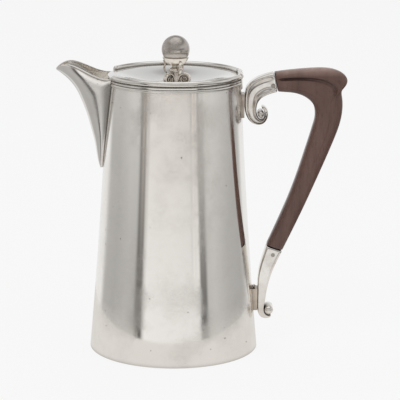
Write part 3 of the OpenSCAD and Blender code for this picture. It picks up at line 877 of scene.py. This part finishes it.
# %% Turn the ball, the cup and the stem
def turned(name, outline, *replaced, segments=64, angle=45):
    """Turns a silhouette, given as (radius, height) from the bottom up, about the finial's axis."""
    bpy.ops.mesh.primitive_circle_add(vertices=segments, radius=outline[0][0] * MM)
    piece = bpy.context.object
    edit_all(piece)
    bpy.ops.transform.translate(value=(fin_x * MM, 0, outline[0][1] * MM))
    for (r0, z0), (r1, z1) in zip(outline, outline[1:]):
        bpy.ops.mesh.extrude_region_move(TRANSFORM_OT_translate={"value": (0, 0, (z1 - z0) * MM)})
        bpy.ops.transform.resize(value=(r1 / r0, r1 / r0, 1),
                                 center_override=(fin_x * MM, 0, z1 * MM))
    low, high = outline[0][1] * MM, outline[-1][1] * MM
    for level in (low, high):
        pick(piece, "verts", lambda v: abs(v.co.z - level) < 1e-6)
        bpy.ops.mesh.edge_face_add()
    leave()
    outward(piece)
    finish(piece, name, "lid", *replaced, angle=angle)


BALL_STEPS = 40
ball_line = []
for i in range(BALL_STEPS + 1):
    a = radians(-80 + 170 * i / BALL_STEPS)
    ball_line.append((max(ball_r * cos(a), 0.05), ball_z + ball_r * sin(a)))
turned("finial_round_ball", ball_line, "finial_ball", segments=72, angle=60)
cup_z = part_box("finial_cup")[0].z / MM
cup_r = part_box("finial_cup")[1].y / MM
cup_line = [
    (4.2, cup_z), (4.6, cup_z + 0.1), (5.2, cup_z + 0.5), (5.9, cup_z + 1.2), (6.6, cup_z + 2.1),
    (7.15, cup_z + 3.1), (cup_r - 0.1, cup_z + 3.9), (cup_r, cup_z + 4.2),
    (cup_r - 0.15, cup_z + 4.35), (cup_r - 0.5, cup_z + 4.4)]
turned("finial_round_cup", cup_line, "finial_cup")
foot_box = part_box("finial_foot")
WAIST_Z = seat_z + 7.2
stem_line = [
    (2.4, seat_z), (2.4, WAIST_Z - 1.1), (3.0, WAIST_Z - 1.0), (3.8, WAIST_Z - 0.7),
    (4.15, WAIST_Z - 0.2), (4.15, WAIST_Z + 0.25), (3.9, WAIST_Z + 0.8), (3.4, WAIST_Z + 1.25),
    (2.7, WAIST_Z + 1.55), (2.15, WAIST_Z + 1.8), (2.1, foot_box[1].z / MM - 0.7),
    (2.7, foot_box[1].z / MM)]
turned("finial_stem", stem_line, "finial_foot")


# %% [markdown]
# ### The scroll feet and the tendrils
#
# Three scroll feet stand on the lid, and three curled tendrils fill the gap between feet and
# cup. They are small castings with the same forms as the handle's straps, so they are grown in
# the same way and copied round the stem. Each foot is cut off level where it meets the lid. It
# holds a round eye, and a thin dark web stands for the shaded depth of the curl.


# %% Curl the scroll feet
def round_the_stem(piece, first, count=3):
    """Copies a piece made in the XZ plane round the finial's axis, each copy with its own mesh."""
    made = []
    for k in range(count):
        alone(piece)
        bpy.ops.object.duplicate()
        twin = bpy.context.object
        edit_all(twin)
        bpy.ops.transform.rotate(value=-radians(first + k * 360 / count), orient_axis="Z",
                                 center_override=(0, 0, 0))
        bpy.ops.transform.translate(value=(fin_x * MM, 0, 0))
        leave()
        made.append(twin)
    bpy.data.objects.remove(piece)
    alone(made[0])
    for twin in made[1:]:
        twin.select_set(True)
    bpy.ops.object.join()
    return made[0]


def cut_level(piece, z):
    """Cuts off what is below z, in millimetres, and closes the cut."""
    edit_all(piece)
    bpy.ops.mesh.bisect(plane_co=(0, 0, z * MM), plane_no=(0, 0, 1), clear_inner=True,
                        use_fill=True, threshold=1e-7)
    leave()


SCROLL_R = 4.3
SCROLL_STEPS = 26
FLATTER = 0.96
scroll_x = 2.6 + SCROLL_R - 1.2
scroll_z = seat_z + SCROLL_R * 0.5
scroll_stops = []
for i in range(SCROLL_STEPS + 1):
    t = i / SCROLL_STEPS
    a = radians(188 - 400 * t)
    out = SCROLL_R - 1.9 * t
    thin = 1.15 - 0.45 * t
    scroll_stops.append((scroll_x + out * cos(a), scroll_z + out * sin(a) * FLATTER,
                         scroll_x + (out - thin) * cos(a),
                         scroll_z + (out - thin) * sin(a) * FLATTER, 1.3))
scroll = soft_square(corner=0.4, cuts=0)
grow(scroll_stops)
outward(scroll)

# %% Add the eyes, cut the feet level and set them round the stem
EYE_WIDTH = 3.05
bpy.ops.mesh.primitive_torus_add(major_segments=32, minor_segments=12, major_radius=1.15 * MM,
                                 minor_radius=0.42 * MM, rotation=(radians(90), 0, 0))
eye = bpy.context.object
bpy.ops.object.transform_apply(location=True, rotation=True, scale=True)
edit_all(eye)
bpy.ops.transform.resize(value=(1, EYE_WIDTH, 1), center_override=(0, 0, 0))
bpy.ops.transform.translate(value=((scroll_x + 0.1) * MM, 0, scroll_z * MM))
leave()
alone(scroll)
eye.select_set(True)
bpy.ops.object.join()
cut_level(scroll, seat_z)
edit_all(scroll)
bpy.ops.mesh.normals_make_consistent(inside=False)
leave()
FOOT_BEARING, TENDRIL_BEARING = -15, 55
feet = round_the_stem(scroll, FOOT_BEARING)

# %% Set a dark web of painted shade in each foot
bpy.ops.mesh.primitive_cylinder_add(vertices=48, radius=(SCROLL_R - 0.9) * MM, depth=0.8 * MM,
                                    location=(scroll_x * MM, 0, scroll_z * MM),
                                    rotation=(radians(90), 0, 0))
shade_web = bpy.context.object
bpy.ops.object.transform_apply(location=True, rotation=True, scale=True)
cut_level(shade_web, seat_z + 0.2)
shade_webs = round_the_stem(shade_web, FOOT_BEARING)
finish(shade_webs, "finial_scroll_shade_webs", "lid", angle=40)
finish(feet, "finial_scroll_feet", "lid", "finial_scrolls", angle=50)

# %% Curl the tendrils
TENDRIL_LINE = [
    (5.4, 5.0, 4.8, 5.6), (6.4, 5.8, 5.4, 6.5), (7.3, 7.2, 6.1, 7.6), (7.5, 8.7, 6.2, 8.7),
    (7.0, 9.8, 5.7, 9.6), (6.5, 10.4, 5.3, 10.5), (6.7, 11.2, 5.4, 11.4), (7.4, 12.2, 6.0, 12.2),
    (7.5, 13.1, 6.5, 13.0)]
tendril_stops = []
for ox, oz, ix, iz in TENDRIL_LINE:
    tendril_stops.append((ox, oz + seat_z, ix, iz + seat_z, 0.9))
tendril = soft_square(corner=0.6, cuts=0)
grow(tendril_stops)
outward(tendril)
smooth(tendril, 1)
tendrils = round_the_stem(tendril, TENDRIL_BEARING)
finish(tendrils, "finial_curled_tendrils", "lid", "finial_tendrils", angle=60)

# %% [markdown]
# ## Finishes
#
# Old table silver is bright but never perfect. It has fine scratches that run in every
# direction, a slow cloudiness where it was rubbed, small dark pits that gather near the foot,
# and warm tarnish. A painted texture would need unwrapping and would have one size. One node
# group makes the masks from noise instead, and each silver finish uses it with its own strengths.

# %% The wear group
wear = bpy.data.node_groups.new("silver_wear", "ShaderNodeTree")
for label, kind in (("Bright", "NodeSocketColor"), ("Tarnish", "NodeSocketColor"),
                    ("Tarnish Amount", "NodeSocketFloat"), ("Scratch Amount", "NodeSocketFloat"),
                    ("Pit Amount", "NodeSocketFloat"), ("Smooth", "NodeSocketFloat"),
                    ("Dull", "NodeSocketFloat")):
    wear.interface.new_socket(name=label, in_out="INPUT", socket_type=kind)
for label, kind in (("Color", "NodeSocketColor"), ("Roughness", "NodeSocketFloat"),
                    ("Height", "NodeSocketFloat")):
    wear.interface.new_socket(name=label, in_out="OUTPUT", socket_type=kind)
given = wear.nodes.new("NodeGroupInput")
result = wear.nodes.new("NodeGroupOutput")
where = wear.nodes.new("ShaderNodeTexCoord").outputs["Object"]


def stretched_noise(tree, place, turned_by, stretch, scale, detail):
    mapping = tree.nodes.new("ShaderNodeMapping")
    mapping.inputs["Rotation"].default_value = turned_by
    mapping.inputs["Scale"].default_value = stretch
    join(tree, place, mapping.inputs["Vector"])
    noise = node(tree, "ShaderNodeTexNoise", Scale=scale, Detail=detail)
    join(tree, mapping.outputs[0], noise.inputs["Vector"])
    return noise.outputs[0]


cloud = stretched_noise(wear, where, (0, 0, 0), (1, 1, 1), 38, 5)
fine_cloud = stretched_noise(wear, where, (0.4, 0.2, 0), (1, 1, 1), 210, 5)
print("wear group has", len(wear.interface.items_tree), "sockets")

# %% Scratches in three directions, and stains
SCRATCH_WIDTH = 0.018
STRANDS = (((0.5, 0.9, 0.2), (1, 18, 18)), ((1.2, 0.3, 0.8), (14, 1, 14)),
           ((0.1, 0.6, 1.9), (18, 18, 1)))
scratch = None
for angles, stretch in STRANDS:
    strand = stretched_noise(wear, where, angles, stretch, 160, 2)
    off_centre = math(wear, "ABSOLUTE", math(wear, "SUBTRACT", strand, 0.5))
    line = math(wear, "SUBTRACT", 1, math(wear, "DIVIDE", off_centre, SCRATCH_WIDTH), clamp=True)
    scratch = line if scratch is None else math(wear, "MAXIMUM", scratch, line)
patchy = math(wear, "MULTIPLY", scratch, rise_from(wear, cloud, 0.42, 0.2))
scratched = math(wear, "MULTIPLY", patchy, given.outputs["Scratch Amount"])
both_clouds = math(wear, "ADD", math(wear, "MULTIPLY", cloud, 0.65),
                   math(wear, "MULTIPLY", fine_cloud, 0.35))
stained = math(wear, "MULTIPLY", rise_from(wear, both_clouds, 0.44, 0.22),
               given.outputs["Tarnish Amount"])
tint = blend(wear, stained, given.outputs["Bright"], given.outputs["Tarnish"])

# %% Pits, gathered in patches and near the foot
PIT = (0.12, 0.095, 0.075)
cells = node(wear, "ShaderNodeTexVoronoi", Scale=230)
join(wear, where, cells.inputs["Vector"])
chance = node(wear, "ShaderNodeSeparateColor")
join(wear, cells.outputs["Color"], chance.inputs[0])
spot = fall_to(wear, cells.outputs["Distance"], 0.13, 0.06)
rare = rise_from(wear, chance.outputs[0], 0.78, 0.1)
upright = node(wear, "ShaderNodeSeparateXYZ")
join(wear, where, upright.inputs[0])
near_foot = fall_to(wear, upright.outputs[2], 0.016, 0.014)
gathered = math(wear, "MAXIMUM", rise_from(wear, cloud, 0.47, 0.08), near_foot)
pit = math(wear, "MULTIPLY", math(wear, "MULTIPLY", spot, rare), gathered)
pitted = math(wear, "MULTIPLY", pit, given.outputs["Pit Amount"])
pitted = math(wear, "MAXIMUM", pitted, math(wear, "MULTIPLY", scratched, 0.16))

# %% Send out the group's colour, roughness and height
join(wear, blend(wear, pitted, tint, PIT), result.inputs["Color"])
spread = math(wear, "SUBTRACT", given.outputs["Dull"], given.outputs["Smooth"])
worst = math(wear, "MAXIMUM", math(wear, "MULTIPLY", fine_cloud, 0.6), scratched)
join(wear, math(wear, "MULTIPLY_ADD", spread, worst, given.outputs["Smooth"]),
     result.inputs["Roughness"])
bumps = math(wear, "ADD", math(wear, "MULTIPLY", scratched, -1),
             math(wear, "MULTIPLY", fine_cloud, 0.12))
join(wear, bumps, result.inputs["Height"])
print("wear group has", len(wear.nodes), "nodes")

# %% [markdown]
# ### The silvers
#
# Each part of the pot has aged in its own way: the wall is polished often, the cast finial
# hardly at all. So there is one function for silver and a short list of strengths for each part.
# Narrow gaps are painted darker: this is painted shade, and tarnish that gathers there too.
# Ambient occlusion finds them without a painted texture, and it has to sit in the material
# itself.


# %% A function for silver
# Painted shade and tarnish: the dark brown laid into narrow gaps
RECESS_SHADE_AND_TARNISH = (0.15, 0.118, 0.092)


def recess_shade_mask(tree, start, gain):
    """Painted shade: up to 1 where ambient occlusion finds gaps and creases, 0 on open faces."""
    recess = node(tree, "ShaderNodeAmbientOcclusion", samples=8, Distance=0.003)
    return math(tree, "MULTIPLY", math(tree, "SUBTRACT", start, recess.outputs["AO"]), gain,
                clamp=True)


def silver(name, bright, tarnish, amount, scratches, pits, smooth_part, dull_part, shade_and_tarnish=0.8,
           depth=0.00002):
    made = bpy.data.materials.new(name)
    made.use_nodes = True
    tree = made.node_tree
    shader = tree.nodes["Principled BSDF"]
    shader.inputs["Metallic"].default_value = 1
    worn = tree.nodes.new("ShaderNodeGroup")
    worn.node_tree = wear
    strengths = {"Bright": (*bright, 1), "Tarnish": (*tarnish, 1), "Tarnish Amount": amount,
                 "Scratch Amount": scratches, "Pit Amount": pits, "Smooth": smooth_part,
                 "Dull": dull_part}
    for label, value in strengths.items():
        worn.inputs[label].default_value = value
    relief = node(tree, "ShaderNodeBump", Strength=0.35, Distance=depth)
    join(tree, worn.outputs["Height"], relief.inputs["Height"])
    join(tree, relief.outputs[0], shader.inputs["Normal"])
    # Painted shade and tarnish: narrow gaps darkened towards the dark brown by ambient occlusion
    shaded_and_tarnished = math(tree, "MULTIPLY", recess_shade_mask(tree, 0.92, 1.5), shade_and_tarnish)
    join(tree, blend(tree, shaded_and_tarnished, worn.outputs["Color"], RECESS_SHADE_AND_TARNISH), shader.inputs["Base Color"])
    join(tree, worn.outputs["Roughness"], shader.inputs["Roughness"])
    return made


# %% The silver of each part
body_silver = silver("worn_body_silver", (0.955, 0.93, 0.89), (0.86, 0.82, 0.77), 0.45, 0.9, 0.8,
                     0.03, 0.11, 0.7)
bright_silver = silver("bright_moulding_silver", (0.95, 0.93, 0.89), (0.60, 0.53, 0.46), 0.5, 0.5,
                       0.4, 0.05, 0.16, 1.0)
lid_silver = silver("lid_plate_silver", (0.93, 0.925, 0.91), (0.86, 0.85, 0.82), 0.4, 1.0, 0.3,
                    0.05, 0.16, 0.6)
socket_silver = silver("handle_socket_silver", (0.93, 0.90, 0.86), (0.52, 0.45, 0.38), 0.55, 0.6,
                       0.5, 0.07, 0.2, 1.0)
finial_silver = silver("warm_finial_silver", (0.93, 0.87, 0.79), (0.52, 0.44, 0.37), 0.7, 0.6, 0.6,
                       0.12, 0.34, 0.5, 0.0003)
cup_silver = silver("cast_cup_silver", (0.93, 0.87, 0.79), (0.40, 0.33, 0.28), 0.9, 0.6, 0.6, 0.12,
                    0.36, 0.25, 0.0006)
ball_silver = silver("hammered_ball_silver", (0.60, 0.555, 0.515), (0.24, 0.205, 0.18), 1.0, 0.8,
                     0.7, 0.12, 0.40, 0.2, 0.0005)
tarnished_silver = silver("tarnished_pad_silver", (0.66, 0.58, 0.50), (0.30, 0.24, 0.20), 0.9, 0.5,
                          0.5, 0.12, 0.34)
inner_silver = silver("dull_inner_silver", (0.80, 0.78, 0.75), (0.42, 0.38, 0.34), 0.8, 0.4, 0.2,
                      0.25, 0.45)
# Dark silver for the pins, and for the webs of painted shade in the scroll feet
pin_silver = silver("pin_silver", (0.50, 0.46, 0.42), (0.22, 0.19, 0.165), 0.8, 0.4, 0.2, 0.2, 0.4,
                    1.0)
print("finishes", sorted(m.name for m in bpy.data.materials if m.name.endswith("silver")))

# %% [markdown]
# ## The wood
#
# The grip is a dark reddish hardwood, polished by hands and waxed. Long grain follows the
# handle and pores show as short dark strokes. The top of the roll is painted paler, a painted
# highlight, and the crease is painted dark, a painted shade found by ambient occlusion. Noise
# stretched along the handle gives the grain and pores, at any size.

# %% Grain, bands and pores
wood = bpy.data.materials.new("waxed_rosewood")
wood.use_nodes = True
tree = wood.node_tree
place = tree.nodes.new("ShaderNodeTexCoord").outputs["Object"]
along = (0, radians(-22), 0)
grain = stretched_noise(tree, place, along, (6, 6, 0.7), 55, 6)
bands = stretched_noise(tree, place, along, (2.4, 2.4, 0.35), 60, 3)
pores = stretched_noise(tree, place, along, (9, 9, 0.9), 190, 2)
tone = math(tree, "ADD", math(tree, "MULTIPLY", grain, 0.35), math(tree, "MULTIPLY", bands, 0.65))
colour = ramp(tree, tone, [(0.30, (0.062, 0.029, 0.022)), (0.46, (0.088, 0.043, 0.033)),
                           (0.56, (0.100, 0.050, 0.039)), (0.72, (0.122, 0.066, 0.052))])
pore_mask = fall_to(tree, pores, 0.42, 0.06)
dark = blend(tree, math(tree, "MULTIPLY", pore_mask, 0.3), colour, (0.018, 0.009, 0.007))

# %% Paint a highlight on the roll, paint shade into the crease and wax the wood
shader = tree.nodes["Principled BSDF"]
level = node(tree, "ShaderNodeSeparateXYZ")
join(tree, place, level.inputs[0])
# Painted highlight: the top of the roll, above 163.5 mm, is painted paler in patches
top_highlight = rise_from(tree, level.outputs[2], 0.1635, 0.005)
top_highlight = math(tree, "MULTIPLY", top_highlight, math(tree, "MULTIPLY_ADD", bands, 0.6, 0.25))
top_highlighted = blend(tree, top_highlight, dark, (0.33, 0.235, 0.20))
# Painted shade: the crease and other narrow gaps are darkened nearly to black
crease_shaded = blend(tree, recess_shade_mask(tree, 0.95, 2.2), top_highlighted, (0.016, 0.008, 0.006))
join(tree, crease_shaded, shader.inputs["Base Color"])
join(tree, math(tree, "MULTIPLY_ADD", grain, 0.35, 0.22), shader.inputs["Roughness"])
relief = node(tree, "ShaderNodeBump", Strength=0.5, Distance=0.00012)
join(tree, math(tree, "SUBTRACT", grain, math(tree, "MULTIPLY", pore_mask, 0.6)),
     relief.inputs["Height"])
join(tree, relief.outputs[0], shader.inputs["Normal"])
shader.inputs["Coat Weight"].default_value = 0.35
shader.inputs["Coat Roughness"].default_value = 0.25
print("wood finish has", len(tree.nodes), "nodes")

# %% [markdown]
# ## Dressing the pieces
#
# The pieces made here get their finish on their own mesh. The CAD pieces that stay visible, such
# as the pins, the pads and the base plate, keep their shapes and only have their slots filled.


# %% Give each piece its finish
def dress(finish_material, *names):
    for name in names:
        mesh = bpy.data.objects[name].data
        mesh.materials.clear()
        mesh.materials.append(finish_material)


dress(body_silver, "body_wall", "beak_spout")
dress(bright_silver, "rim_flat_band", "rim_round_wire", "lid_round_wire")
dress(lid_silver, "lid_dished_plate")
dress(socket_silver, "upper_scroll", "lower_scroll", "upper_curl_pellet", "lower_curl_pellet")
dress(ball_silver, "finial_round_ball")
dress(cup_silver, "finial_round_cup")
dress(finial_silver, "finial_stem", "finial_scroll_feet", "finial_curled_tendrils")
# Painted shade: the dark webs stand for the shaded depth of each curl
dress(pin_silver, "finial_scroll_shade_webs")
dress(wood, "carved_grip")


# %% Fill the CAD pieces' slots
def recoat(finish_material, *nodes):
    for name in nodes:
        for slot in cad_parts[name].material_slots:
            slot.material = finish_material


recoat(body_silver, "base_plate", "foot_ring")
recoat(bright_silver, "hinge_body_leaf", "hinge_lid_leaf")
recoat(inner_silver, "lid_collar")
recoat(pin_silver, "hinge_pin", "upper_pin", "lower_pin", "finial_stud", "finial_washer",
       "finial_nut")
recoat(tarnished_silver, "upper_pad", "lower_pad")
recoat(cup_silver, "lower_bead")
print("every piece has its finish")
